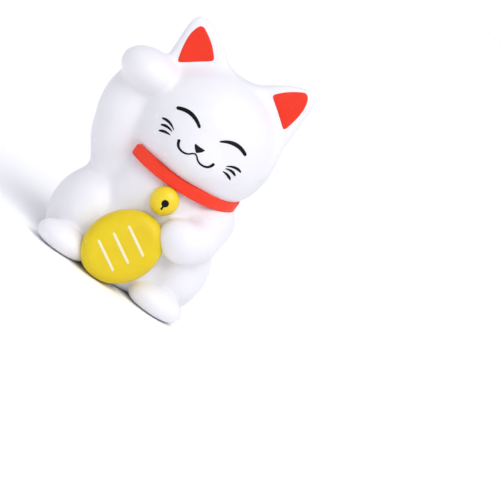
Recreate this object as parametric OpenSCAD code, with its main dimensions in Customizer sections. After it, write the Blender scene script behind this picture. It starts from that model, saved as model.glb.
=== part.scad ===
// Beckoning cat figurine: a hollow moulded cat in two half shells, with pressed-in trims.
// X runs to the viewer's right, Y to the back, Z up; the origin is the middle of the underside.

/* [Head] */
// Half width of the head
head_half_w = 13.6; // [13.2:0.1:14]
// Half height of the head
head_half_h = 12.3; // [11.8:0.1:12.8]
// Half depth of the head, front to back
head_half_d = 12.6; // [12:0.1:13]
// Height of the middle of the head
head_z = 29.9; // [29.4:0.1:30.4]
// Sideways shift of the head from the middle of the body
head_x = 0.6; // [0.3:0.1:0.8]
// Distance of each ear's outer side from the middle
ear_reach = 12.9; // [12.4:0.1:13.4]
// Size of the rounding at the ear tip
ear_round = 2.4; // [2:0.1:2.8]

/* [Body] */
// Radius of the belly
belly_r = 11.4; // [11:0.1:11.8]
// Radius of the chest
chest_r = 10.6; // [10.2:0.1:11]
// Half width of a haunch
haunch_half_w = 6.7; // [6.4:0.1:7]
// Thickness of the raised arm
arm_r = 4.7; // [4.5:0.1:4.9]
// Height of the middle of the raised paw
paw_z = 34.2; // [33.8:0.1:34.6]

/* [Shells] */
// Wall thickness of the half shells
wall = 1.8; // [1.5:0.1:2]
// Thickness of the floor
floor_t = 3; // [2.6:0.1:3.4]
// Number of points around the seam
seam_steps = 112; // [96:4:120]
// Number of rings on a shell's outer face
outer_rings = 20; // [16:1:22]
// Number of rings on a shell's inner face
inner_rings = 7; // [6:1:9]

/* [Base plug] */
// Diameter of the plug's spigot
plug_d = 13.8; // [13:0.1:14.2]
// Diameter of the plug's flange
flange_d = 15.8; // [15.4:0.1:16.2]
// Gap around the plug
plug_gap = 0.1; // [0.08:0.01:0.15]

/* [Collar and bell] */
// Outer radius of the collar
collar_r = 11.9; // [11.7:0.1:12.1]
// Height of the collar band
collar_h = 2.2; // [2:0.1:2.4]
// Droop of the collar towards the front, in degrees
collar_droop = 6.6; // [5:0.2:8]
// Width of the bell
bell_d = 5.2; // [4.8:0.1:5.4]
// Depth of the bell, front to back
bell_depth = 4.4; // [4:0.1:4.8]

/* [Coin] */
// Length of the coin
coin_l = 15.1; // [14.8:0.1:15.4]
// Width of the coin
coin_w = 12.5; // [12.1:0.1:12.8]
// Height of the coin's dome
coin_dome = 1.7; // [1.4:0.1:1.9]
// Angle of the coin's length above level
coin_turn = 60; // [50:1:70]

/* [Face] */
// Widest stroke of an eye
eye_stroke = 0.7; // [0.5:0.02:0.74]
// Widest stroke of the mouth
mouth_stroke = 0.54; // [0.44:0.02:0.6]
// Widest stroke of a whisker
whisker_stroke = 0.48; // [0.36:0.02:0.5]

/* [Hidden] */
$fn = 64;
seam_z = 17;       // height of the point that the shells' rings run around
far = 36;          // farther out than any part of the figure
near_seam = 0.999; // last ring before the seam
thin = 0.05;       // least depth of a shell surface beside the seam
pin_r = 0.5;
pin_l = 1.2;
pin_gap = 0.05;
flange_t = 1;
ink_rise = 0.12;   // how far the printed strokes stand out of the skin
ink_depth = 0.35;  // how far the printed strokes are let into the skin
face_x = 0.6;      // middle of the eyes and whiskers
mouth_x = 0.4;     // middle of the nose and mouth
coin_pos = [-0.75, -13.7, 7.3];
coin_lean = 8;
coin_back = 2.6;   // depth of the coin behind its rim
bell_pos = [0.8, -11.3, 17.8];
collar_pos = [0.3, 0.3, 22.8];
collar_in = 9.6;

// ---- Blended form: distance-like functions, negative inside ----

function blend(a, b, k) = let (h = max(k - abs(a - b), 0) / k) min(a, b) - h * h * k / 4;
function common(a, b, k) = -blend(-a, -b, k);
function egg(q, r) =
    let (k0 = norm([q.x / r.x, q.y / r.y, q.z / r.z]),
         k1 = norm([q.x / pow(r.x, 2), q.y / pow(r.y, 2), q.z / pow(r.z, 2)]) + 1e-9)
    k0 * (k0 - 1) / k1;
function limb(p, a, b, ra, rb) =
    let (h = min(max((p - a) * (b - a) / ((b - a) * (b - a)), 0), 1))
    norm(p - a - h * (b - a)) - (ra + (rb - ra) * h);
function side_of(p, n, o) = (p - o) * n / norm(n);
function turn_z(q, a) = [q.x * cos(a) + q.y * sin(a), -q.x * sin(a) + q.y * cos(a), q.z];
function turn_y(q, a) = [q.x * cos(a) - q.z * sin(a), q.y, q.x * sin(a) + q.z * cos(a)];
function flip(p) = [-p.x, p.y, p.z];

function ear_form(q) =
    let (outline = common(side_of(q, [1, 0, -0.04], [ear_reach, 0, 40]),
                          side_of(q, [-0.62, 0, 0.785], [7.4, 0, 46.3]), ear_round),
         front = common(outline, side_of(q, [0, -0.97, 0.24], [0, -2.9, 40]), 1.5),
         back = common(front, side_of(q, [0, 0.9, 0.42], [0, 4, 40]), 3))
    common(back, 30 - q.z, 2);
function head_form(p) =
    let (skull = egg(p - [head_x, 0, head_z], [head_half_w, head_half_d, head_half_h]),
         face = blend(skull, egg(p - [head_x, -10.6, 27], [4.4, 2.4, 3]), 3),
         ears = min(ear_form(p - [0.5, 0, 0]), ear_form(flip(p))))
    blend(face, ears, 1.6);
function leg_form(q) =
    blend(egg(q - [9.1, -1.2, 6.9], [haunch_half_w, 9.2, 8.6]),
          egg(q - [9.6, -10.7, 2], [5.3, 4.1, 2.8]), 0.9);
function raised_arm_form(p) =
    let (upper = limb(p, [-8.6, -0.5, 14], [-11.5, -1, 20.5], 4.2, arm_r),
         fore = egg(turn_y(p - [-13.2, -1.4, 25.8], -13), [arm_r + 0.65, arm_r + 0.7, 9]),
         paw = egg(turn_z(p - [-13.8, -3.2, paw_z], -22), [5.7, 5.8, 3.9]))
    blend(blend(upper, fore, 2), paw, 1);
function coin_arm_form(p) =
    blend(limb(p, [9.3, -1.8, 17.6], [9.6, -9, 14.6], 5.3, 4),
          egg(p - [7.2, -12, 13.7], [4.3, 3.5, 3.8]), 1.2);
function body_form(p) =
    let (torso = limb(p, [0, 0.8, 7.5], [0.2, 0.2, 17], belly_r, chest_r),
         belly = egg(p - [0, -3.5, 5.5], [10.3, 9.4, 8]),
         legs = min(leg_form(p), leg_form(flip(p))),
         seat = blend(blend(torso, belly, 2), legs, 0.9),
         arms = blend(blend(seat, raised_arm_form(p), 1.6), coin_arm_form(p), 2))
    blend(arms, egg(turn_y(p - [4.5, 11.2, 6], -25), [3.2, 3.4, 4.2]), 1.2);
function figure(p) = common(blend(head_form(p), body_form(p), 1.3), -p.z, 0.8);
function cavity(p) = max(figure(p) + wall, floor_t - p.z);
function surface_at(p, inner) = inner ? cavity(p) : figure(p);

// Steps in from outside, along Y or out along the seam plane, until the surface is met
function skin_y(x, z, s, inner = false, y = 20, n = 40) =
    let (d = surface_at([x, s * y, z], inner))
    (n == 0 || d < 0.008 || y < thin) ? max(y, thin) : skin_y(x, z, s, inner, y - 0.9 * d, n - 1);
function seam_r(a, inner, r = far, n = 60) =
    let (d = surface_at([r * cos(a), 0, seam_z + r * sin(a)], inner))
    (n == 0 || d < 0.004) ? r : seam_r(a, inner, r - 0.9 * d, n - 1);

// ---- Half shells ----

function ring_share(j, rings) = j == rings ? near_seam : sin(90 * j / rings);
function snap_z(z, inner) = let (low = inner ? floor_t : 0) z < low + 0.06 ? low : z;
function shell_ring(radii, share, s, inner) =
    [for (i = [0:seam_steps - 1])
        let (a = 360 * i / seam_steps, r = share * radii[i], x = r * cos(a), z = seam_z + r * sin(a))
        [x, s * skin_y(x, z, s, inner), snap_z(z, inner)]];
function seam_ring(radii, inner) =
    [for (i = [0:seam_steps - 1])
        let (a = 360 * i / seam_steps)
        [radii[i] * cos(a), 0, snap_z(seam_z + radii[i] * sin(a), inner)]];
function flat(lists) = [for (part = lists) for (v = part) v];
function turned(faces, s) = s > 0 ? faces : [for (f = faces) [f[2], f[1], f[0]]];

module half_shell(s) {
    out_r = [for (i = [0:seam_steps - 1]) seam_r(360 * i / seam_steps, false)];
    in_r = [for (i = [0:seam_steps - 1]) seam_r(360 * i / seam_steps, true)];
    rings = concat([for (j = [1:outer_rings]) shell_ring(out_r, ring_share(j, outer_rings), s, false)],
                   [seam_ring(out_r, false), seam_ring(in_r, true)],
                   [for (j = [inner_rings:-1:1]) shell_ring(in_r, ring_share(j, inner_rings), s, true)]);
    last = len(rings) * seam_steps;
    points = concat(flat(rings), [[0, s * skin_y(0, seam_z, s), seam_z]],
                    [[0, s * skin_y(0, seam_z, s, true), seam_z]]);
    walls = [for (j = [0:len(rings) - 2]) for (i = [0:seam_steps - 1])
        let (k = (i + 1) % seam_steps, a = j * seam_steps, b = a + seam_steps)
        each [[a + i, a + k, b + k], [a + i, b + k, b + i]]];
    caps = [for (i = [0:seam_steps - 1])
        let (k = (i + 1) % seam_steps)
        each [[last, k, i], [last + 1, last - seam_steps + i, last - seam_steps + k]]];
    polyhedron(points, turned(concat(walls, caps), s));
}

function pin_place(a) =
    let (r = (seam_r(a, false) + seam_r(a, true)) / 2)
    [r * cos(a), 0, seam_z + r * sin(a)];
PIN_ANGLES = [-35, 12, 90, 215];

module seam_pins(r, l, root) {
    for (a = PIN_ANGLES)
        translate(pin_place(a) + [0, root, 0]) rotate([90, 0, 0]) cylinder(r = r, h = l + root);
}

module plug_hole() {
    translate([0, 0, -1]) cylinder(d = plug_d + 2 * plug_gap, h = floor_t + 2);
    translate([0, 0, -1]) cylinder(d = flange_d + 2 * plug_gap, h = flange_t + 1);
}

module front_shell() {
    color("white") difference() {
        half_shell(-1);
        plug_hole();
        seam_pins(pin_r + pin_gap, pin_l + 0.2, 0.5);
    }
}

module back_shell() {
    color("white") {
        difference() {
            half_shell(1);
            plug_hole();
        }
        seam_pins(pin_r, pin_l, 0.6);
    }
}

module base_plug() {
    color("whitesmoke") difference() {
        union() {
            cylinder(d = flange_d, h = flange_t);
            cylinder(d = plug_d, h = floor_t + 1.2);
        }
        translate([0, 0, flange_t + 0.4]) cylinder(d = plug_d - 2.4, h = floor_t + 2);
    }
}

// ---- Collar and bell ----

module collar() {
    color("tomato") translate(collar_pos) rotate([collar_droop, 0, 0]) rotate([0, 0, -141])
        rotate_extrude(angle = 282) translate([collar_in, -collar_h / 2])
            square([collar_r - collar_in, collar_h]);
}

module bell_form() {
    scale([1, bell_depth / bell_d, 1]) sphere(d = bell_d);
}

module slot_form(front) {
    translate([0.25, -front, 0]) rotate([90, 0, 0]) cylinder(d = 1.3, h = 2);
    translate([0.09, -front - 2, -1.35]) cube([0.32, 2, 1.3]);
}

module bell() {
    color("gold") translate(bell_pos) difference() {
        bell_form();
        slot_form(bell_depth / 2 - 0.5);
    }
}

module bell_slot() {
    color("black") translate(bell_pos) intersection() {
        bell_form();
        slot_form(bell_depth / 2 - 0.5);
    }
}

// ---- Coin ----

module on_coin() {
    translate(coin_pos) rotate([90 - coin_lean, 0, 0]) rotate([0, 0, coin_turn]) children();
}

module coin() {
    color("gold") difference() {
        on_coin() scale([1, coin_w / coin_l, 1]) {
            translate([0, 0, -coin_back]) cylinder(d = coin_l, h = coin_back);
            intersection() {
                scale([1, 1, 2 * coin_dome / coin_l]) sphere(d = coin_l);
                cylinder(d = coin_l + 1, h = coin_dome + 1);
            }
        }
        translate([-coin_l, -2 * coin_l, -coin_l]) cube([2 * coin_l, 2 * coin_l, coin_l]);
    }
}

module coin_stripes() {
    stripe_l = coin_w / 2;
    stripe_w = 0.5;
    a = coin_l / 2;
    color("lemonchiffon") on_coin() for (u = [-3.2, -0.3, 2.6]) {
        top = coin_dome * sqrt(1 - pow(u / a, 2));
        slope = atan(coin_dome * coin_dome * u / (a * a * top));
        translate([u, 0, top + 0.05]) rotate([0, slope, 0])
            translate([-stripe_w / 2, -stripe_l / 2, -0.5]) cube([stripe_w, stripe_l, 0.5]);
    }
}

// ---- Ear linings ----

module ear_lining(s, shift) {
    corners = [[6.6, 42.6], [11.1, 39.3], [11.7, 43.9], [11, 45.9]];
    round_r = 0.5;
    lean = atan(0.24 / 0.97);
    color("orangered") translate([0, -2.9, 40]) rotate([90 - lean, 0, 0]) translate([0, 0, -0.6])
        linear_extrude(0.75) hull() for (c = corners)
            translate([s * (c.x + shift.x), (c.y + shift.y - 40) / cos(lean)])
                circle(r = round_r, $fn = 24);
}

module left_ear_lining() { ear_lining(-1, [-0.6, -0.8]); }
module right_ear_lining() { ear_lining(1, [0, 0]); }

// ---- Printed face ----

// A stroke on the front of the head, through [x, z] points, with a width at each point
module stroke(points, widths) {
    n = len(points);
    function along(i) = points[min(i + 1, n - 1)] - points[max(i - 1, 0)];
    function across(i) = [-along(i).y, along(i).x] / norm(along(i)) * widths[i] / 2;
    function ring(i) =
        let (a = points[i] + across(i), b = points[i] - across(i),
             ya = -skin_y(a.x, a.y, -1), yb = -skin_y(b.x, b.y, -1))
        [[a.x, ya - ink_rise, a.y], [b.x, yb - ink_rise, b.y],
         [b.x, yb + ink_depth, b.y], [a.x, ya + ink_depth, a.y]];
    sides = [for (i = [0:n - 2]) for (k = [0:3])
        let (m = (k + 1) % 4, a = 4 * i, b = 4 * (i + 1))
        each [[a + k, a + m, b + m], [a + k, b + m, b + k]]];
    ends = [[2, 1, 0], [3, 2, 0], [4 * n - 4, 4 * n - 3, 4 * n - 2], [4 * n - 4, 4 * n - 2, 4 * n - 1]];
    polyhedron([for (i = [0:n - 1]) each ring(i)], concat(sides, ends));
}

// Points of a smooth curve through three points, from t = 0 to t = 1
function curve(a, b, c, steps) =
    let (m = 2 * b - (a + c) / 2)
    [for (i = [0:steps]) let (t = i / steps) pow(1 - t, 2) * a + 2 * t * (1 - t) * m + t * t * c];
function taper(steps, w) = [for (i = [0:steps]) w * (0.3 + 0.7 * sin(180 * i / steps))];
function on_face(points, s, middle = face_x) = [for (p = points) [middle + s * p.x, p.y]];

module eye(s) {
    line = curve([2.05, 32], [4.7, 33.05], [7.35, 32.3], 10);
    color("black") stroke(on_face(s > 0 ? line : [for (i = [10:-1:0]) line[i]], s), taper(10, eye_stroke));
}

module left_eye() { eye(-1); }
module right_eye() { eye(1); }

module nose() {
    half = [[0.1, 28.1], [0.12, 28.25], [0.5, 28.5], [1, 29.15], [0.9, 29.4]];
    outline = [for (s = [-1, 1], i = [0:4]) let (c = half[s < 0 ? i : 4 - i]) [s * c.x, c.y]];
    color("black") translate([mouth_x, 0, 0]) rotate([90, 0, 0]) translate([0, 0, 12.2])
        linear_extrude(1.3) polygon(outline);
}

module mouth() {
    half = concat(curve([0, 28], [0.8, 27.35], [2, 27], 5),
                  curve([2.5, 27.02], [3.3, 27.5], [3.65, 28.4], 4));
    n = len(half);
    widths = [for (i = [0:n - 1]) mouth_stroke * (0.5 + 0.5 * i / (n - 1))];
    left = [for (i = [n - 1:-1:1]) half[i]];
    color("black") stroke(concat(on_face(left, -1, mouth_x), on_face(half, 1, mouth_x)),
                          concat([for (i = [n - 1:-1:1]) widths[i]], widths));
}

module whiskers(s) {
    lines = [curve([5.5, 29], [7, 29.6], [8.4, 29.35], 5),
             curve([5.6, 28.6], [6.85, 28.75], [7.9, 28.3], 5),
             curve([5.5, 27.95], [6.6, 27.8], [7.6, 27.25], 5)];
    color("black") for (line = lines)
        stroke(on_face(s > 0 ? line : [for (i = [5:-1:0]) line[i]], s), taper(5, whisker_stroke));
}

module left_whiskers() { whiskers(-1); }
module right_whiskers() { whiskers(1); }

front_shell();
back_shell();
base_plug();
collar();
bell();
bell_slot();
coin();
coin_stripes();
left_ear_lining();
right_ear_lining();
left_eye();
right_eye();
nose();
mouth();
left_whiskers();
right_whiskers();
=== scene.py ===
"""Looks of the beckoning cat figurine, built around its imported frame."""

import math

import bmesh
import bpy
import numpy as np
from mathutils import Matrix, Vector


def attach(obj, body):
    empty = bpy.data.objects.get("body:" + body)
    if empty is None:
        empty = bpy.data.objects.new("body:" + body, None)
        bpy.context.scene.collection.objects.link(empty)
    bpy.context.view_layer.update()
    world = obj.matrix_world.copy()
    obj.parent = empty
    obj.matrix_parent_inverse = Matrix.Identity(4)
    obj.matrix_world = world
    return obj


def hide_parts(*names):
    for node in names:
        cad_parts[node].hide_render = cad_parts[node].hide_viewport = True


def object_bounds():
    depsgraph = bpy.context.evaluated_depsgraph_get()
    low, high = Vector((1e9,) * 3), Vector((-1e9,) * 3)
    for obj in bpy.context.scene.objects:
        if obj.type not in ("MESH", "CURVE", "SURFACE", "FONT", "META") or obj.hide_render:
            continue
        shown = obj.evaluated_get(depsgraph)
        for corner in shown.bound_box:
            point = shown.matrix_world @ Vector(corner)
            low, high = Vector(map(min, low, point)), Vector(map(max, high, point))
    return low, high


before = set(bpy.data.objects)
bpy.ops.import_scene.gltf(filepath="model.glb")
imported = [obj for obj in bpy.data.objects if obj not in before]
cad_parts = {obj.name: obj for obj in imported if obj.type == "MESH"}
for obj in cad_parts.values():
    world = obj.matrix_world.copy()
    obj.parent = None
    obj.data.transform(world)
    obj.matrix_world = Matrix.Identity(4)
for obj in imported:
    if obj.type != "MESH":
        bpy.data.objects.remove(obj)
cad_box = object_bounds()

MM = 0.001

# The cat faces -Y, and X runs to the viewer's right. Every form below is in millimetres.
WALL = 1.8
FLOOR_THICKNESS = 3.0
SKIN_CELL = 0.42
CAVITY_CELL = 0.6
HEAD_CENTRE = (0.6, 0.0, 29.9)
HEAD_RADII = (13.6, 12.6, 12.3)
EYES_X = 0.6
MOUTH_X = 0.4
COLLAR_CENTRE = np.array([0.3, 0.3, 22.8])
COLLAR_RADIUS = 11.75
COLLAR_DROOP = 6.6
BELL_CENTRE = np.array([0.8, -11.3, 17.8])
COIN_CENTRE = np.array([-0.75, -13.7, 7.3])
COIN_LENGTH = 15.1
COIN_WIDTH = 12.5
COIN_BACK = 2.6
COIN_EDGE_HEIGHT = 1.2
COIN_DOME = 0.45
COIN_TURN = 60.0
COIN_LEAN = 8.0


# ---- Forms: distance-like values, negative inside ----

def blend(a, b, k):
    """Union of two forms with a soft fillet about k wide."""
    h = np.maximum(k - np.abs(a - b), 0.0) / k
    return np.minimum(a, b) - h * h * k / 4


def common(a, b, k):
    """Intersection of two forms with a rounded edge about k wide."""
    return -blend(-a, -b, k)


def turn_z(q, degrees):
    c, s = math.cos(math.radians(degrees)), math.sin(math.radians(degrees))
    return np.stack([q[..., 0] * c + q[..., 1] * s, -q[..., 0] * s + q[..., 1] * c, q[..., 2]], -1)


def turn_y(q, degrees):
    c, s = math.cos(math.radians(degrees)), math.sin(math.radians(degrees))
    return np.stack([q[..., 0] * c - q[..., 2] * s, q[..., 1], q[..., 0] * s + q[..., 2] * c], -1)


def turn_x(q, degrees):
    c, s = math.cos(math.radians(degrees)), math.sin(math.radians(degrees))
    return np.stack([q[..., 0], q[..., 1] * c + q[..., 2] * s, -q[..., 1] * s + q[..., 2] * c], -1)


def flip(p):
    """Mirrors points from one side of the cat to the other."""
    return p * np.array([-1.0, 1.0, 1.0])


def egg(q, radii):
    """An ellipsoid round the origin."""
    radii = np.array(radii)
    near = np.linalg.norm(q / radii, axis=-1) + 1e-6
    slope = np.linalg.norm(q / radii ** 2, axis=-1) + 1e-6 / radii.max()
    return near * (near - 1.0) / slope


def limb(p, a, b, radius_a, radius_b):
    """A round limb from a to b, whose radius changes evenly."""
    a, b = np.array(a), np.array(b)
    along = np.clip((p - a) @ (b - a) / ((b - a) @ (b - a)), 0, 1)
    radius = radius_a + (radius_b - radius_a) * along
    return np.linalg.norm(p - a - along[..., None] * (b - a), axis=-1) - radius


def side_of(p, normal, point):
    """Everything behind a plane through a point."""
    normal = np.array(normal) / np.linalg.norm(normal)
    return (p - np.array(point)) @ normal


def ear_form(q):
    outer_side = side_of(q, (1, 0, -0.04), (12.9, 0, 40))
    inner_side = side_of(q, (-0.62, 0, 0.785), (7.4, 0, 46.3))
    outline = common(outer_side, inner_side, 2.4)
    front = common(outline, side_of(q, (0, -0.97, 0.24), (0, -2.9, 40)), 1.5)
    back = common(front, side_of(q, (0, 0.9, 0.42), (0, 4, 40)), 3)
    return common(back, 30 - q[..., 2], 2)


def head_form(p):
    skull = egg(p - np.array(HEAD_CENTRE), HEAD_RADII)
    face = blend(skull, egg(p - np.array([0.6, -10.6, 27.0]), (4.4, 2.4, 3.0)), 3)
    return blend(face, np.minimum(ear_form(p - np.array([0.5, 0, 0])), ear_form(flip(p))), 1.6)


def leg_form(q):
    haunch = egg(q - np.array([9.1, -1.2, 6.9]), (6.7, 9.2, 8.6))
    foot = egg(q - np.array([9.6, -10.7, 2.0]), (5.3, 4.1, 2.8))
    return blend(haunch, foot, 0.9)


def raised_arm_form(p):
    upper = limb(p, (-8.6, -0.5, 14), (-11.5, -1.0, 20.5), 4.2, 4.7)
    fore = egg(turn_y(p - np.array([-13.2, -1.4, 25.8]), -13), (5.35, 5.4, 9.0))
    paw = egg(turn_z(p - np.array([-13.8, -3.2, 34.2]), -22), (5.7, 5.8, 3.9))
    return blend(blend(upper, fore, 2), paw, 1)


def coin_arm_form(p):
    arm = limb(p, (9.3, -1.8, 17.6), (9.6, -9, 14.6), 5.3, 4.0)
    paw = egg(p - np.array([7.2, -12.0, 13.7]), (4.3, 3.5, 3.8))
    return blend(arm, paw, 1.2)


def body_form(p):
    torso = limb(p, (0, 0.8, 7.5), (0.2, 0.2, 17), 11.4, 10.6)
    belly = egg(p - np.array([0, -3.5, 5.5]), (10.3, 9.4, 8.0))
    seat = blend(blend(torso, belly, 2), np.minimum(leg_form(p), leg_form(flip(p))), 0.9)
    arms = blend(blend(seat, raised_arm_form(p), 1.6), coin_arm_form(p), 2)
    tail = egg(turn_y(p - np.array([4.5, 11.2, 6.0]), -25), (3.2, 3.4, 4.2))
    return blend(arms, tail, 1.2)


def figure(p):
    """The whole moulded cat, flat at z = 0."""
    return common(blend(head_form(p), body_form(p), 1.3), -p[..., 2], 0.8)


def cavity(p):
    """The hollow inside the moulded cat."""
    return common(figure(p) + WALL, FLOOR_THICKNESS - p[..., 2], 0.6)


def slope_of(form, p, step=0.01):
    """Gradient of a form at points p."""
    out = np.empty(p.shape)
    for k in range(3):
        move = np.zeros(3)
        move[k] = step
        out[..., k] = (form(p + move) - form(p - move)) / (2 * step)
    return out


def onto(form, p, rounds=4):
    """Moves points p onto the surface of a form."""
    for _ in range(rounds):
        g = slope_of(form, p)
        p = p - g * (form(p) / np.maximum((g * g).sum(-1), 0.05))[..., None]
    return p


def march(form, start, direction, reach=20.0, rounds=70):
    """Walks from outside along a direction until the form is met, and returns the distance walked."""
    gone = np.zeros(start.shape[:-1])
    for _ in range(rounds):
        gone = np.minimum(gone + 0.9 * form(start + gone[..., None] * direction), reach)
    return gone


# ---- Meshes ----

def surface_net(form, low, high, cell, relax=3):
    """Quads over the surface of a form, with evenly spaced points that lie on it."""
    axes = [np.arange(a, b + cell, cell) for a, b in zip(low, high)]
    value = form(np.stack(np.meshgrid(*axes, indexing="ij"), -1))
    inside = value < 0
    size = np.array(inside.shape) - 1
    total = np.zeros(size)
    number = np.zeros(size, int)

    def corner(array, i, j, k):
        return array[i:i + size[0], j:j + size[1], k:k + size[2]]

    sums = np.zeros((*size, 3))
    for axis in range(3):
        for a in (0, 1):
            for b in (0, 1):
                first = np.insert([a, b], axis, 0)
                last = np.insert([a, b], axis, 1)
                f0, f1 = corner(value, *first), corner(value, *last)
                cut = (f0 < 0) != (f1 < 0)
                share = np.where(cut, f0 / np.where(cut, f0 - f1, 1), 0)
                for k in range(3):
                    sums[..., k] += np.where(cut, first[k] + (share if k == axis else 0), 0)
                total += cut
    used = total > 0
    number[used] = np.arange(used.sum())
    cells = np.argwhere(used)
    points = np.array(low) + cell * (cells + sums[used] / total[used][:, None])
    quads = []
    for axis in range(3):
        step = np.eye(3, dtype=int)[axis]
        u, v = np.eye(3, dtype=int)[(axis + 1) % 3], np.eye(3, dtype=int)[(axis + 2) % 3]
        here = inside[tuple(slice(0, n - s) for n, s in zip(inside.shape, step))]
        there = inside[tuple(slice(s, None) for s in step)]
        for way in (True, False):
            edges = np.argwhere((here == way) & (there != way))
            edges = edges[((edges - u - v) >= 0).all(1) & (edges < size).all(1)]
            ring = [number[tuple((edges - a * u - b * v).T)] for a, b in ((0, 0), (1, 0), (1, 1), (0, 1))]
            quads.append(np.stack(ring if way else ring[::-1], -1))
    quads = np.concatenate(quads)
    points = onto(form, points)
    for _ in range(relax):
        near = np.zeros(points.shape)
        count = np.zeros(len(points))
        for a in range(4):
            for b in (1, 3):
                np.add.at(near, quads[:, a], points[quads[:, (a + b) % 4]])
                np.add.at(count, quads[:, a], 1)
        points = onto(form, 0.5 * points + 0.5 * near / count[:, None], rounds=2)
    return points, quads


def make_object(name, points, faces, sharp_degrees=40.0):
    """A smooth-shaded object from points in millimetres, with edges sharp above an angle."""
    mesh = bpy.data.meshes.new(name)
    mesh.from_pydata((np.asarray(points) * MM).tolist(), [], [list(map(int, f)) for f in faces])
    return finish_object(name, mesh, sharp_degrees)


def finish_object(name, mesh, sharp_degrees=40.0):
    bm = bmesh.new()
    bm.from_mesh(mesh)
    bmesh.ops.recalc_face_normals(bm, faces=bm.faces)
    for edge in bm.edges:
        edge.smooth = not edge.is_manifold or edge.calc_face_angle(0.0) < math.radians(sharp_degrees)
    for face in bm.faces:
        face.smooth = True
    bm.to_mesh(mesh)
    bm.free()
    obj = bpy.data.objects.new(name, mesh)
    bpy.context.scene.collection.objects.link(obj)
    return obj


def band_faces(layers, count):
    """Quads between layers of points that each run once round with count points."""
    faces = []
    for i in range(layers - 1):
        here, above = i * count, (i + 1) * count
        for j in range(count):
            k = (j + 1) % count
            faces.append((here + j, here + k, above + k, above + j))
    return faces


def end_faces(layers, count):
    """One flat face on the first layer and one on the last."""
    return [tuple(range(count)), tuple((layers - 1) * count + j for j in range(count))]


def lathe(name, profile, steps=160):
    """A closed turned solid about Z from [radius, height] points that start and end on the axis."""
    ring = [(r, z) for r, z in profile if r > 0]
    points = [(r * math.cos(t), r * math.sin(t), z)
              for t in (2 * math.pi * i / steps for i in range(steps)) for r, z in ring]
    count = len(ring)
    faces = []
    for i in range(steps):
        here, there = i * count, (i + 1) % steps * count
        faces += [(here + j, there + j, there + j + 1, here + j + 1) for j in range(count - 1)]
    points += [(0, 0, profile[0][1]), (0, 0, profile[-1][1])]
    first, last = len(points) - 2, len(points) - 1
    for i in range(steps):
        here, there = i * count, (i + 1) % steps * count
        faces.append((first, there, here))
        faces.append((last, here + count - 1, there + count - 1))
    return make_object(name, points, faces)


def cut_away(obj, cutter):
    """Takes the cutter out of an object, for good."""
    cut = obj.modifiers.new("cut", "BOOLEAN")
    cut.operation = "DIFFERENCE"
    cut.solver = "MANIFOLD"
    cut.object = cutter
    mesh = bpy.data.meshes.new_from_object(obj.evaluated_get(bpy.context.evaluated_depsgraph_get()))
    name = obj.name
    for old in (obj, cutter):
        bpy.data.objects.remove(old)
    return finish_object(name, mesh)


# ---- Half shells ----

def half_shell(name, outer, inner, side):
    """One moulded half: outer skin and hollow, cut flat at the seam plane, with a fine parting line."""
    snap = 0.12 * MM
    line_depth = 0.05
    bm = bmesh.new()
    for (points, quads), turned in ((outer, False), (inner, True)):
        verts = [bm.verts.new(Vector(p) * MM) for p in points]
        for q in quads:
            order = q[::-1] if turned else q
            bm.faces.new([verts[i] for i in order])
    everything = bm.verts[:] + bm.edges[:] + bm.faces[:]
    bmesh.ops.bisect_plane(bm, geom=everything, dist=snap, plane_co=(0, 0, 0), plane_no=(0, -side, 0),
                           use_snap_center=True, clear_outer=True)
    rim = [v for v in bm.verts if abs(v.co.y) < 1e-7]
    at = np.array([v.co for v in rim]) / MM
    g = slope_of(figure, at)
    on_skin = (np.abs(figure(at)) < 0.3) & (at[:, 2] > 0.5)
    at = at - (line_depth * on_skin)[:, None] * g * np.array([1, 0, 1])
    for v, p in zip(rim, at):
        v.co = Vector(p) * MM
        v.co.y = 0.0
    open_edges = [e for e in bm.edges if e.is_boundary]
    bmesh.ops.triangle_fill(bm, use_beauty=True, use_dissolve=False, edges=open_edges)
    mesh = bpy.data.meshes.new(name)
    bm.to_mesh(mesh)
    bm.free()
    return cut_away(finish_object(name, mesh), plug_hole_cutter())


def plug_hole_cutter():
    """The stepped hole in the underside, with a small lead-in at its mouth."""
    profile = [(0, -2), (8.3, -2), (8.3, -0.0001), (8.0, 0.25), (8.0, 1.0), (7.0, 1.0), (7.0, 4.6), (0, 4.6)]
    return lathe("plug_hole_cutter", profile)


# ---- Pieces that follow the skin ----

def on_front(x, z, height):
    """Points on the front of the skin at x and z, standing out by height."""
    start = np.stack([x, np.full(np.shape(x), -20.0), z], -1)
    y = -20.0 + march(figure, start, np.array([0.0, 1.0, 0.0]))
    p = np.stack([x, y, z], -1)
    g = slope_of(figure, p)
    g = g / np.linalg.norm(g, axis=-1, keepdims=True)
    return p + g * np.asarray(height)[..., None]


def ribbon(name, path, widths, place, rise=0.07, sink=0.12, across=7):
    """A brushed line along a path, crowned across its width and let a little into the surface under it."""
    path, widths = np.asarray(path, float), np.asarray(widths, float)
    along = np.gradient(path, axis=0)
    side = np.stack([-along[:, 1], along[:, 0]], -1) / np.linalg.norm(along, axis=1, keepdims=True)
    c = np.linspace(-1, 1, across)
    flat = path[:, None, :] + side[:, None, :] * (widths[:, None] / 2 * c)[..., None]
    crown = rise * np.sqrt(np.maximum(1 - c ** 2, 0)) * np.ones((len(path), 1))
    top = place(flat[..., 0], flat[..., 1], crown)
    under = place(flat[..., 0], flat[..., 1], np.full(crown.shape, -sink))[:, ::-1]
    rings = np.concatenate([top, under], 1)
    faces = band_faces(*rings.shape[:2]) + end_faces(*rings.shape[:2])
    return make_object(name, rings.reshape(-1, 3), faces, 60.0)


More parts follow.
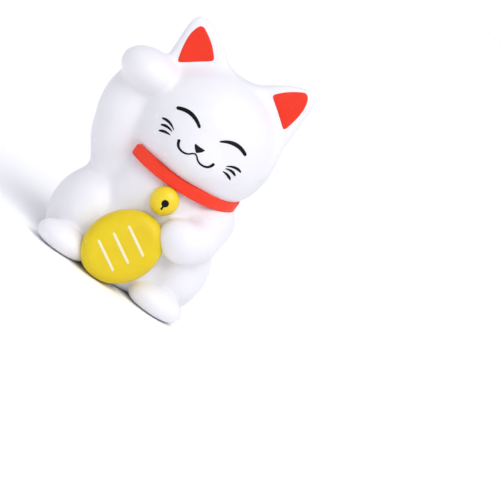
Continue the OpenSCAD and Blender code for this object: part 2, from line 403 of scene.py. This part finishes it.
def patch(name, outline, place, rise=0.1, sink=0.15, rings=14):
    """A thin pad inside an outline, with a rounded edge, that follows the surface under it."""
    outline = np.asarray(outline, float)
    middle = outline.mean(0)
    share = np.sin(np.linspace(0, math.pi / 2, rings + 1))[1:]
    flat = middle + share[:, None, None] * (outline - middle)
    height = rise * np.sqrt(np.maximum(1 - share ** 8, 0))[:, None] * np.ones(len(outline))
    top = place(flat[..., 0], flat[..., 1], height)
    under = place(flat[::-1, :, 0], flat[::-1, :, 1], np.full(height.shape, -sink))
    layers = np.concatenate([top, under], 0)
    count = len(outline)
    faces = band_faces(len(layers), count)
    ends = place(np.full(2, middle[0]), np.full(2, middle[1]), np.array([rise, -sink]))
    first = layers.shape[0] * count
    last_ring = (layers.shape[0] - 1) * count
    for j in range(count):
        k = (j + 1) % count
        faces.append((first, k, j))
        faces.append((first + 1, last_ring + j, last_ring + k))
    return make_object(name, np.concatenate([layers.reshape(-1, 3), ends]), faces, 60.0)


def curve(a, b, c, steps):
    """Points of a smooth curve from a through b to c."""
    a, b, c = map(np.array, (a, b, c))
    t = np.linspace(0, 1, steps + 1)[:, None]
    m = 2 * b - (a + c) / 2
    return (1 - t) ** 2 * a + 2 * t * (1 - t) * m + t ** 2 * c


def smooth_path(points, steps):
    """A smooth path through points, with steps pieces between each two."""
    p = np.array(points, float)
    p = np.vstack([2 * p[0] - p[1], p, 2 * p[-1] - p[-2]])
    out = []
    for i in range(1, len(p) - 2):
        t = np.linspace(0, 1, steps, endpoint=False)[:, None]
        a, b, c, d = p[i - 1], p[i], p[i + 1], p[i + 2]
        out.append(0.5 * (2 * b + (c - a) * t + (2 * a - 5 * b + 4 * c - d) * t ** 2
                          + (3 * b - a - 3 * c + d) * t ** 3))
    return np.vstack([*out, p[-2:-1]])


def brush(count, widest, start, end, peak=0.5):
    """Widths along a brush stroke that swells to its widest at peak and has rounded ends."""
    t = np.linspace(0, 1, count)
    swell = np.where(t < peak, start + (1 - start) * np.sin(t / peak * math.pi / 2),
                     end + (1 - end) * np.sin((1 - t) / (1 - peak) * math.pi / 2))
    tip = np.sqrt(np.clip(1 - (1 - np.minimum(np.minimum(t, 1 - t) / 0.05, 1)) ** 2, 0.02, 1))
    return widest * swell * tip


def mirrored(points, s, middle):
    points = np.array(points, float)
    return np.stack([middle + s * points[:, 0], points[:, 1]], -1)


# ---- Materials ----

def new_group(name, inputs, outputs):
    """A node group with named number inputs (name, value) and outputs (name, kind)."""
    group = bpy.data.node_groups.new(name, "ShaderNodeTree")
    for label, value in inputs:
        socket = group.interface.new_socket(label, in_out="INPUT", socket_type="NodeSocketFloat")
        socket.default_value = value
    for label, kind in outputs:
        group.interface.new_socket(label, in_out="OUTPUT", socket_type=kind)
    return group, group.nodes.new("NodeGroupInput"), group.nodes.new("NodeGroupOutput")


def link_map(tree, value, from_low, from_high, to_low, to_high):
    """A clamped change of range on a value."""
    node = tree.nodes.new("ShaderNodeMapRange")
    tree.links.new(value, node.inputs["Value"])
    ends = {"From Min": from_low, "From Max": from_high, "To Min": to_low, "To Max": to_high}
    for label, number in ends.items():
        node.inputs[label].default_value = number
    return node.outputs["Result"]


def noise(tree, scale, detail, coordinates, rough=0.55):
    node = tree.nodes.new("ShaderNodeTexNoise")
    node.inputs["Detail"].default_value = detail
    node.inputs["Roughness"].default_value = rough
    if isinstance(scale, (int, float)):
        node.inputs["Scale"].default_value = scale
    else:
        tree.links.new(scale, node.inputs["Scale"])
    tree.links.new(coordinates, node.inputs["Vector"])
    return node.outputs["Fac"]


def math_node(tree, operation, a, b):
    node = tree.nodes.new("ShaderNodeMath")
    node.operation = operation
    for socket, value in zip(node.inputs, (a, b)):
        if isinstance(value, (int, float)):
            socket.default_value = value
        else:
            tree.links.new(value, socket)
    return node.outputs[0]


def make_moulded_surface():
    """Fine moulded texture: a soft orange peel, a fine grain and slow mottling."""
    group, given, out = new_group("moulded_surface", [("Peel Scale", 900.0), ("Grain Scale", 6000.0)],
                                  [("Height", "NodeSocketFloat"), ("Mottle", "NodeSocketFloat")])
    place = group.nodes.new("ShaderNodeTexCoord").outputs["Object"]
    peel = noise(group, given.outputs["Peel Scale"], 2.0, place)
    grain = noise(group, given.outputs["Grain Scale"], 3.0, place)
    mottle = noise(group, 140.0, 4.0, place)
    height = math_node(group, "ADD", peel, math_node(group, "MULTIPLY", grain, 0.35))
    group.links.new(height, out.inputs["Height"])
    group.links.new(link_map(group, mottle, 0.3, 0.7, 0.0, 1.0), out.inputs["Mottle"])
    return group


def make_wear_and_hollow_shade():
    """Rubbed high edges, and dust with painted shade in hollows, broken up by noise."""
    group, given, out = new_group("wear_and_hollow_shade", [("Edge", 0.56), ("Hollow", 0.44), ("Break Up", 700.0)],
                                  [("Rub", "NodeSocketFloat"), ("Dust And Shade", "NodeSocketFloat")])
    place = group.nodes.new("ShaderNodeTexCoord").outputs["Object"]
    shape = group.nodes.new("ShaderNodeNewGeometry").outputs["Pointiness"]
    broken = noise(group, given.outputs["Break Up"], 5.0, place, 0.65)
    nudge = math_node(group, "MULTIPLY", math_node(group, "SUBTRACT", broken, 0.5), 0.06)
    moved = math_node(group, "ADD", shape, nudge)
    above = math_node(group, "SUBTRACT", moved, given.outputs["Edge"])
    # Hollows below the threshold give the mask for dust and painted shade, a darkening where shade falls.
    below = math_node(group, "SUBTRACT", given.outputs["Hollow"], moved)
    group.links.new(link_map(group, above, 0.0, 0.06, 0.0, 1.0), out.inputs["Rub"])
    group.links.new(link_map(group, below, 0.0, 0.08, 0.0, 1.0), out.inputs["Dust And Shade"])
    return group


def make_fine_scratches():
    """Short hairline scratches in two directions."""
    group, given, out = new_group("fine_scratches", [("Scale", 160.0)], [("Mask", "NodeSocketFloat")])
    place = group.nodes.new("ShaderNodeTexCoord").outputs["Object"]
    lines = []
    for turn in (0.5, 2.1):
        mapping = group.nodes.new("ShaderNodeMapping")
        mapping.inputs["Rotation"].default_value = (0.3, turn, 0.2)
        mapping.inputs["Scale"].default_value = (1.0, 14.0, 14.0)
        group.links.new(place, mapping.inputs["Vector"])
        fine = noise(group, given.outputs["Scale"], 2.0, mapping.outputs["Vector"], 0.5)
        lines.append(link_map(group, fine, 0.70, 0.76, 0.0, 1.0))
    group.links.new(math_node(group, "MAXIMUM", *lines), out.inputs["Mask"])
    return group


MOULDED = make_moulded_surface()
WEAR_AND_SHADE = make_wear_and_hollow_shade()
SCRATCHES = make_fine_scratches()


def use_group(tree, group, **values):
    node = tree.nodes.new("ShaderNodeGroup")
    node.node_tree = group
    for label, value in values.items():
        node.inputs[label.replace("_", " ")].default_value = value
    return node


def mix_colour(tree, mask, a, b):
    node = tree.nodes.new("ShaderNodeMix")
    node.data_type = "RGBA"
    tree.links.new(mask, node.inputs["Factor"])
    for socket, value in ((node.inputs["A"], a), (node.inputs["B"], b)):
        if isinstance(value, tuple):
            socket.default_value = (*value, 1.0)
        else:
            tree.links.new(value, socket)
    return node.outputs["Result"]


def plastic(name, colour, shade, worn, dust_and_shade, rough=(0.35, 0.5), peel=900.0, bump=0.08, soft=0.0, shine=0.5,
            rub_amount=0.35, dust_and_shade_amount=0.3):
    """A moulded or painted plastic: colour drifts to shade at random, worn on edges, with dust and painted
    shade in hollows.
    """
    material = bpy.data.materials.new(name)
    material.use_nodes = True
    tree = material.node_tree
    shader = tree.nodes["Principled BSDF"]
    surface = use_group(tree, MOULDED, Peel_Scale=peel)
    wear_and_shade = use_group(tree, WEAR_AND_SHADE)
    scratches = use_group(tree, SCRATCHES)
    base = mix_colour(tree, surface.outputs["Mottle"], colour, shade)
    # Hollows take a darker colour here: dust together with painted shade.
    base = mix_colour(tree, math_node(tree, "MULTIPLY", wear_and_shade.outputs["Dust And Shade"], dust_and_shade_amount), base, dust_and_shade)
    base = mix_colour(tree, math_node(tree, "MULTIPLY", wear_and_shade.outputs["Rub"], rub_amount), base, worn)
    tree.links.new(base, shader.inputs["Base Color"])
    roughness = link_map(tree, surface.outputs["Mottle"], 0.0, 1.0, *rough)
    dulled = math_node(tree, "MULTIPLY", scratches.outputs["Mask"], 0.12)
    scratched = math_node(tree, "ADD", roughness, dulled)
    tree.links.new(scratched, shader.inputs["Roughness"])
    lifted = tree.nodes.new("ShaderNodeBump")
    lifted.inputs["Strength"].default_value = bump
    lifted.inputs["Distance"].default_value = 0.0001
    height = math_node(tree, "SUBTRACT", surface.outputs["Height"],
                       math_node(tree, "MULTIPLY", scratches.outputs["Mask"], 0.3))
    tree.links.new(height, lifted.inputs["Height"])
    tree.links.new(lifted.outputs["Normal"], shader.inputs["Normal"])
    shader.inputs["IOR"].default_value = 1.48
    shader.inputs["Subsurface Weight"].default_value = soft
    shader.inputs["Subsurface Radius"].default_value = (1.0, 0.85, 0.9)
    shader.inputs["Subsurface Scale"].default_value = 0.0012
    shader.inputs["Specular IOR Level"].default_value = shine
    return material


# Each material's colour for hollows is mostly a darker copy of its colour: dust with painted shade.
WHITE = plastic("white_vinyl", colour=(0.795, 0.79, 0.815), shade=(0.775, 0.77, 0.80),
                worn=(0.88, 0.88, 0.885), dust_and_shade=(0.70, 0.69, 0.72),
                rough=(0.36, 0.46), bump=0.06, soft=0.25)
PLUG = plastic("plug_vinyl", colour=(0.80, 0.80, 0.82), shade=(0.74, 0.74, 0.77),
               worn=(0.88, 0.88, 0.88), dust_and_shade=(0.55, 0.54, 0.55),
               rough=(0.45, 0.6), bump=0.12, soft=0.15)
RED_BAND = plastic("red_vinyl", colour=(0.88, 0.048, 0.017), shade=(0.83, 0.036, 0.012),
                   worn=(0.95, 0.16, 0.10), dust_and_shade=(0.60, 0.06, 0.04),
                   rough=(0.4, 0.52), bump=0.07, soft=0.1, shine=0.25)
RED_INK = plastic("red_ink", colour=(0.80, 0.036, 0.012), shade=(0.75, 0.029, 0.009),
                  worn=(0.90, 0.20, 0.15), dust_and_shade=(0.60, 0.08, 0.06),
                  rough=(0.42, 0.55), peel=1500.0, bump=0.05, shine=0.22, rub_amount=0.15)
YELLOW = plastic("yellow_enamel", colour=(0.82, 0.63, 0.018), shade=(0.75, 0.51, 0.008),
                 worn=(0.93, 0.80, 0.20), dust_and_shade=(0.62, 0.36, 0.005),
                 rough=(0.25, 0.38), bump=0.05, shine=0.45, dust_and_shade_amount=0.5)
COIN = plastic("coin_yellow", colour=(0.735, 0.57, 0.010), shade=(0.68, 0.485, 0.006),
               worn=(0.93, 0.80, 0.20), dust_and_shade=(0.68, 0.42, 0.004),
               rough=(0.34, 0.46), bump=0.06, shine=0.3, dust_and_shade_amount=0.5)
CREAM = plastic("cream_ink", colour=(0.83, 0.77, 0.57), shade=(0.79, 0.72, 0.49),
                worn=(0.94, 0.90, 0.75), dust_and_shade=(0.70, 0.58, 0.30),
                rough=(0.4, 0.52), peel=1500.0, bump=0.06, shine=0.3)
BLACK = plastic("black_ink", colour=(0.004, 0.004, 0.005), shade=(0.008, 0.007, 0.009),
                worn=(0.06, 0.06, 0.06), dust_and_shade=(0.02, 0.02, 0.02),
                rough=(0.35, 0.5), peel=1500.0, bump=0.05, shine=0.12)


def settle(obj, material, body, slot, *nodes):
    """Gives a piece its material and its body, and hides the CAD nodes that it stands for. The slot argument
    is not used.
    """
    obj.data.materials.clear()
    obj.data.materials.append(material)
    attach(obj, body)
    if nodes:
        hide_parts(*nodes)
    return obj


# ---- Body of the cat ----

def make_shells():
    low, high = (-21.0, -17.0, -1.3), (16.5, 16.5, 49.5)
    outer = surface_net(figure, low, high, SKIN_CELL)
    inner = surface_net(cavity, low, high, CAVITY_CELL)
    for name, side in (("front_skin", -1), ("back_skin", 1)):
        shell = half_shell(name, outer, inner, side)
        settle(shell, WHITE, "figure", "white_vinyl", name.replace("skin", "shell"))


def make_base_plug():
    """A push-in plug: a flat flange with a moulded ring, a hollow spigot and a snap rim."""
    underside = [(0, 0.25), (3.4, 0.25), (3.6, 0.05), (3.9, 0.0), (6.3, 0.0), (6.45, 0.12), (6.75, 0.12)]
    flange = [(6.9, 0.0), (7.65, 0.0), (7.9, 0.2), (7.9, 0.9), (7.8, 1.0), (6.9, 1.0)]
    spigot = [(6.9, 3.6), (6.75, 4.2), (6.1, 4.2), (5.7, 4.0), (5.7, 1.6), (5.4, 1.4), (0, 1.4)]
    settle(lathe("base_plug_moulding", underside + flange + spigot), PLUG, "plug", "plug_vinyl", "base_plug")


# ---- Collar, bell and coin ----

def make_collar():
    """A soft band round the neck, open at the raised arm, that always stands a little out of the skin."""
    half_height = 1.1
    inner = 9.7
    stand_out = 0.45
    edge = 0.38
    angles = np.radians(np.linspace(-141, 141, 190))
    droop = math.radians(COLLAR_DROOP)
    across = np.array([0.0, math.cos(droop), math.sin(droop)])
    up = np.array([0.0, -math.sin(droop), math.cos(droop)])
    ways = np.cos(angles)[:, None] * np.array([1.0, 0.0, 0.0]) + np.sin(angles)[:, None] * across
    reach = np.full(len(angles), COLLAR_RADIUS)
    for lift in (-half_height * 0.7, 0.0, half_height * 0.7):
        start = COLLAR_CENTRE + ways * 9.0 + up * lift
        steps = np.linspace(0, 5, 120)
        outside = figure(start[:, None] + ways[:, None] * steps[:, None]) > 0
        skin = 9.0 + steps[np.argmax(outside, 1)]
        reach = np.maximum(reach, np.where(outside.any(1), np.minimum(skin, 12.3), 0) + stand_out * 0.5)
    smooth = np.ones(15) / 15
    reach = np.convolve(np.pad(reach, 7, mode="edge"), smooth, mode="valid")
    section = [(inner, -half_height + edge * 0.2)]
    for s, start in ((-1, -90), (1, 0)):
        for i in range(7):
            t = math.radians(start + 90 * i / 6)
            section.append((-edge + edge * math.cos(t), s * (half_height - edge) + edge * math.sin(t)))
    section.append((inner, half_height + 0.45))
    points = []
    for i, way in enumerate(ways):
        ends = min(i, len(ways) - 1 - i)
        shrink = math.sqrt(max(1 - (1 - min(ends / 3, 1)) ** 2, 0.0)) * edge * 0.8
        for k, (r, z) in enumerate(section):
            radius = r if k in (0, len(section) - 1) else reach[i] + r - (edge * 0.8 - shrink)
            height = z * (half_height - edge * 0.8 + shrink) / half_height
            points.append(COLLAR_CENTRE + way * radius + up * height)
    faces = band_faces(len(ways), len(section)) + end_faces(len(ways), len(section))
    settle(make_object("neck_band", points, faces, 50.0), RED_BAND, "figure", "red_vinyl", "collar")


def slot_form(p):
    """The round hole and the slit below it, through the front of the bell."""
    hole = np.hypot(p[..., 0] - 0.25, p[..., 2]) - 0.65
    slit = np.maximum(np.abs(p[..., 0] - 0.25) - 0.16, np.abs(p[..., 2] + 0.7) - 0.65)
    return np.maximum(blend(hole, slit, 0.15), p[..., 1] + 1.55)


def bell_form(p):
    q = p - BELL_CENTRE
    return common(egg(q, (2.6, 2.2, 2.6)), -slot_form(q), 0.1)


def bell_slot_form(p):
    q = p - BELL_CENTRE
    return np.maximum(egg(q, (2.45, 2.07, 2.45)), slot_form(q) - 0.02)


def make_bell():
    low, high = BELL_CENTRE - 2.8, BELL_CENTRE + 2.8
    settle(make_object("bell_ball", *surface_net(bell_form, low, high, 0.11, relax=1), 60.0),
           YELLOW, "figure", "yellow_enamel", "bell")
    low, high = BELL_CENTRE + np.array([-0.7, -2.4, -1.6]), BELL_CENTRE + np.array([1.2, -1.3, 0.9])
    settle(make_object("bell_opening", *surface_net(bell_slot_form, low, high, 0.06, relax=1), 60.0),
           BLACK, "figure", "black_ink", "bell_slot")


def to_coin(p):
    """Coordinates on the coin: along its length, across it, and out of its face."""
    q = turn_x(p - COIN_CENTRE, 90 - COIN_LEAN)
    return turn_z(q, COIN_TURN)


def from_coin(q):
    return turn_x(turn_z(q, -COIN_TURN), COIN_LEAN - 90) + COIN_CENTRE


def coin_face(u, w):
    """Height of the coin's face: a low dome inside a soft raised rim."""
    out = np.hypot(u / (COIN_LENGTH / 2), w / (COIN_WIDTH / 2))
    rim = 0.05 / (1 + np.exp(-(out - 0.80) / 0.03))
    return COIN_EDGE_HEIGHT + COIN_DOME * (1 - np.minimum(out, 1.2) ** 2) + rim


def coin_form(p):
    q = to_coin(p)
    u, w, n = q[..., 0], q[..., 1], q[..., 2]
    edge = egg(np.stack([u, w, 0 * n], -1), (COIN_LENGTH / 2, COIN_WIDTH / 2, 1.0))
    body = common(edge, n - coin_face(u, w), 2.4)
    body = common(body, -COIN_BACK - n, 0.4)
    return common(body, 0.02 - p[..., 2], 0.4)


def on_coin(u, w, height):
    """Points on the coin's face, standing out by height."""
    start = np.stack([u, w, np.full(np.shape(u), 4.0)], -1)
    gone = march(lambda q: coin_form(from_coin(q)), start, np.array([0.0, 0.0, -1.0]), reach=5.0)
    return from_coin(np.stack([u, w, 4.0 - gone + height], -1))


def make_coin():
    low, high = COIN_CENTRE + np.array([-8.5, -3.5, -8.5]), COIN_CENTRE + np.array([8.5, 5.0, 8.5])
    settle(make_object("oval_coin", *surface_net(coin_form, low, high, 0.24), 50.0),
           COIN, "figure", "coin_yellow", "coin")
    pitch, drop, length, width = 2.9, 0.3, 6.1, 0.52
    widths = brush(25, width, 0.85, 0.85)
    for number in (1, 2, 3):
        across = np.full(25, (number - 2) * pitch - drop)
        path = np.stack([across, np.linspace(-length / 2, length / 2, 25)], -1)
        stroke = ribbon(f"coin_stripe_{number}", path, widths, on_coin, rise=0.09)
        settle(stroke, CREAM, "figure", "cream_ink", *(["coin_stripes"] if number == 1 else []))


# ---- Ears and face ----

LEFT_LINING = [(5.6, 42.0), (7.6, 44.05), (10.0, 45.55), (10.9, 45.7), (11.45, 45.1), (11.85, 43.4),
               (11.65, 40.9), (10.95, 38.1), (8.3, 40.05)]
RIGHT_LINING = [(6.1, 42.85), (8.0, 44.75), (10.3, 46.25), (11.2, 46.4), (11.85, 45.75), (12.25, 44.1),
                (12.1, 41.8), (11.4, 38.9), (8.8, 40.95)]
CORNERS_TIGHT = (0, 7)
CORNER_SOFTENING = 4


def round_outline(corners, steps=9, tight=()):
    """A closed smooth outline through points, with the corners named in tight kept crisp."""
    p = np.array(corners, float)
    count = len(p)
    out = []
    for i in range(count):
        a, b, c, d = p[i - 1], p[i], p[(i + 1) % count], p[(i + 2) % count]
        start = (c - b) if i in tight else (c - a) / 2
        end = (c - b) if (i + 1) % count in tight else (d - b) / 2
        for t in np.linspace(0, 1, steps, endpoint=False):
            leave, arrive = t ** 3 - 2 * t ** 2 + t, t ** 3 - t ** 2
            out.append((2 * t ** 3 - 3 * t ** 2 + 1) * b + leave * start
                       + (-2 * t ** 3 + 3 * t ** 2) * c + arrive * end)
    return np.array(out)


def make_ears():
    for name, s, corners in (("left", -1, LEFT_LINING), ("right", 1, RIGHT_LINING)):
        outline = round_outline([(s * x, z) for x, z in corners], tight=CORNERS_TIGHT)
        for _ in range(CORNER_SOFTENING):
            outline = (np.roll(outline, 1, 0) + 2 * outline + np.roll(outline, -1, 0)) / 4
        pad = patch(f"{name}_ear_red", outline, on_front)
        settle(pad, RED_INK, "figure", "red_ink", f"{name}_ear_lining")


def make_eyes():
    line = curve((2.05, 31.95), (4.7, 33.05), (7.35, 32.3), 40)
    for name, s, inner_end in (("left", -1, 0.7), ("right", 1, 0.4)):
        widths = brush(41, 0.72, inner_end, 0.8)
        stroke = ribbon(f"{name}_eye_arc", mirrored(line, s, EYES_X), widths, on_front)
        settle(stroke, BLACK, "figure", "black_ink", f"{name}_eye")


def make_nose_and_mouth():
    corners = [(-0.95, 29.4), (-0.5, 29.42), (0.0, 29.38), (0.5, 29.42), (0.95, 29.4), (1.02, 29.25),
               (0.72, 28.8), (0.3, 28.4), (0.0, 28.25), (-0.3, 28.4), (-0.72, 28.8), (-1.02, 29.25)]
    outline = mirrored(round_outline(corners, steps=5), 1, MOUTH_X)
    settle(patch("nose_print", outline, on_front, rise=0.08, rings=6), BLACK, "figure", "black_ink", "nose")
    half = smooth_path([(0, 28.0), (0.45, 27.75), (0.95, 27.3), (1.6, 27.02), (2.4, 27.0), (3.1, 27.28),
                        (3.5, 27.8), (3.68, 28.4)], 6)
    path = np.concatenate([mirrored(half[:0:-1], -1, MOUTH_X), mirrored(half, 1, MOUTH_X)])
    t = np.abs(np.linspace(-1, 1, len(path)))
    tip = np.sqrt(np.clip(1 - (1 - np.minimum((1 - t) / 0.05, 1)) ** 2, 0.02, 1))
    widths = (0.27 + 0.31 * t ** 1.6) * tip
    settle(ribbon("mouth_line", path, widths, on_front), BLACK, "figure", "black_ink", "mouth")


def make_whiskers():
    lines = [curve((5.5, 29.0), (7.0, 29.6), (8.4, 29.35), 20),
             curve((5.6, 28.6), (6.85, 28.75), (7.9, 28.3), 20),
             curve((5.5, 27.95), (6.6, 27.8), (7.6, 27.25), 20)]
    widths = brush(21, 0.50, 0.28, 0.45, peak=0.65)
    for name, s in (("left", -1), ("right", 1)):
        for number, line in enumerate(lines, 1):
            stroke = ribbon(f"{name}_whisker_{number}", mirrored(line, s, EYES_X), widths, on_front)
            settle(stroke, BLACK, "figure", "black_ink", *([f"{name}_whiskers"] if number == 1 else []))


make_shells()
make_base_plug()
make_collar()
make_bell()
make_coin()
make_ears()
make_eyes()
make_nose_and_mouth()
make_whiskers()


# ---- Floor, light and camera ----

AZIMUTH = -3.0
ELEVATION = 8.0
ROLL = 35.0
CAMERA_DISTANCE = 0.42
VIEW_WIDTH = 0.0895
VIEW_RIGHT_OF_NECK = 0.14
VIEW_BELOW_NECK = 0.17
NECK_HEIGHT = 0.023
SENSOR = 36.0


def camera_axes():
    """Unit vectors towards the camera, and along the image's right and up, for a camera that rolls."""
    a, e, r = map(math.radians, (AZIMUTH, ELEVATION, ROLL))
    back = Vector((math.sin(a) * math.cos(e), -math.cos(a) * math.cos(e), math.sin(e)))
    right = Vector((math.cos(a), math.sin(a), 0))
    up = back.cross(right)
    return back, math.cos(r) * right + math.sin(r) * up, -math.sin(r) * right + math.cos(r) * up


def make_camera():
    back, right, up = camera_axes()
    neck = Vector((0, 0, NECK_HEIGHT))
    eye = neck + back * CAMERA_DISTANCE
    middle = neck + right * (VIEW_RIGHT_OF_NECK * VIEW_WIDTH) - up * (VIEW_BELOW_NECK * VIEW_WIDTH)
    towards = (eye - middle).normalized()
    side = (right - towards * right.dot(towards)).normalized()
    over = towards.cross(side)
    data = bpy.data.cameras.new("camera")
    data.sensor_width = SENSOR
    data.lens = SENSOR * (eye - middle).length / VIEW_WIDTH
    data.clip_start, data.clip_end = 0.01, 10.0
    camera = bpy.data.objects.new("camera", data)
    rotation = Matrix((side, over, towards)).transposed().to_4x4()
    camera.matrix_world = Matrix.Translation(eye) @ rotation
    bpy.context.scene.collection.objects.link(camera)
    bpy.context.scene.camera = camera


def make_floor():
    """A wide pale floor with softly rounded far edges."""
    level = cad_box[0].z / MM - 0.02
    steps = 96
    points, faces = [], []
    for radius, drop in ((50, 0), (400, 0), (3000, 0), (4000, 0), (4060, 12), (4085, 60)):
        for i in range(steps):
            t = 2 * math.pi * i / steps
            points.append((radius * math.cos(t), radius * math.sin(t), level - drop))
    rings = len(points) // steps
    faces.append(tuple(range(steps)))
    for r in range(rings - 1):
        for i in range(steps):
            k = (i + 1) % steps
            faces.append((r * steps + i, r * steps + k, (r + 1) * steps + k, (r + 1) * steps + i))
    floor = make_object("studio_floor", points, faces)
    material = bpy.data.materials.new("pale_paper")
    material.use_nodes = True
    tree = material.node_tree
    shader = tree.nodes["Principled BSDF"]
    place = tree.nodes.new("ShaderNodeTexCoord").outputs["Object"]
    cloud = noise(tree, 9.0, 4.0, place)
    paper = mix_colour(tree, cloud, (0.95, 0.95, 0.95), (0.92, 0.92, 0.93))
    tree.links.new(paper, shader.inputs["Base Color"])
    shader.inputs["Roughness"].default_value = 0.9
    shader.inputs["Specular IOR Level"].default_value = 0.1
    floor.data.materials.append(material)


def aim(light, way, distance):
    """Places a light so that it shines at the cat from a direction."""
    towards = Vector(way).normalized()
    light.location = Vector((0, 0, 0.024)) + towards * distance
    light.rotation_mode = "QUATERNION"
    light.rotation_quaternion = towards.to_track_quat("Z", "Y")
    bpy.context.scene.collection.objects.link(light)


def make_key_light():
    """A broad, even light from the upper right, as from a large ceiling panel."""
    data = bpy.data.lights.new("key_light", "SUN")
    data.angle = math.radians(45)
    data.energy = 1.75
    data.color = (1.0, 0.99, 0.97)
    aim(bpy.data.objects.new("key_light", data), (0.28, -0.48, 0.85), 0.5)


def make_front_light():
    """A soft square light near the viewer, that fills the front."""
    data = bpy.data.lights.new("front_light", "AREA")
    data.shape = "SQUARE"
    data.size = 0.3
    data.energy = 0.2
    aim(bpy.data.objects.new("front_light", data), (0.05, -1.0, 0.35), 0.6)


def make_world():
    """Cool, even studio air that turns white along the horizon."""
    world = bpy.data.worlds.new("studio_air")
    world.use_nodes = True
    tree = world.node_tree
    back = tree.nodes["Background"]
    split = tree.nodes.new("ShaderNodeSeparateXYZ")
    tree.links.new(tree.nodes.new("ShaderNodeTexCoord").outputs["Generated"], split.inputs[0])
    tree.links.new(link_map(tree, split.outputs["Z"], 0.02, 0.12, 1.12, 0.70), back.inputs["Strength"])
    back.inputs["Color"].default_value = (0.90, 0.91, 1.0, 1.0)
    bpy.context.scene.world = world
    bpy.context.scene.view_settings.view_transform = "Standard"


make_camera()
make_floor()
make_world()
make_key_light()
make_front_light()
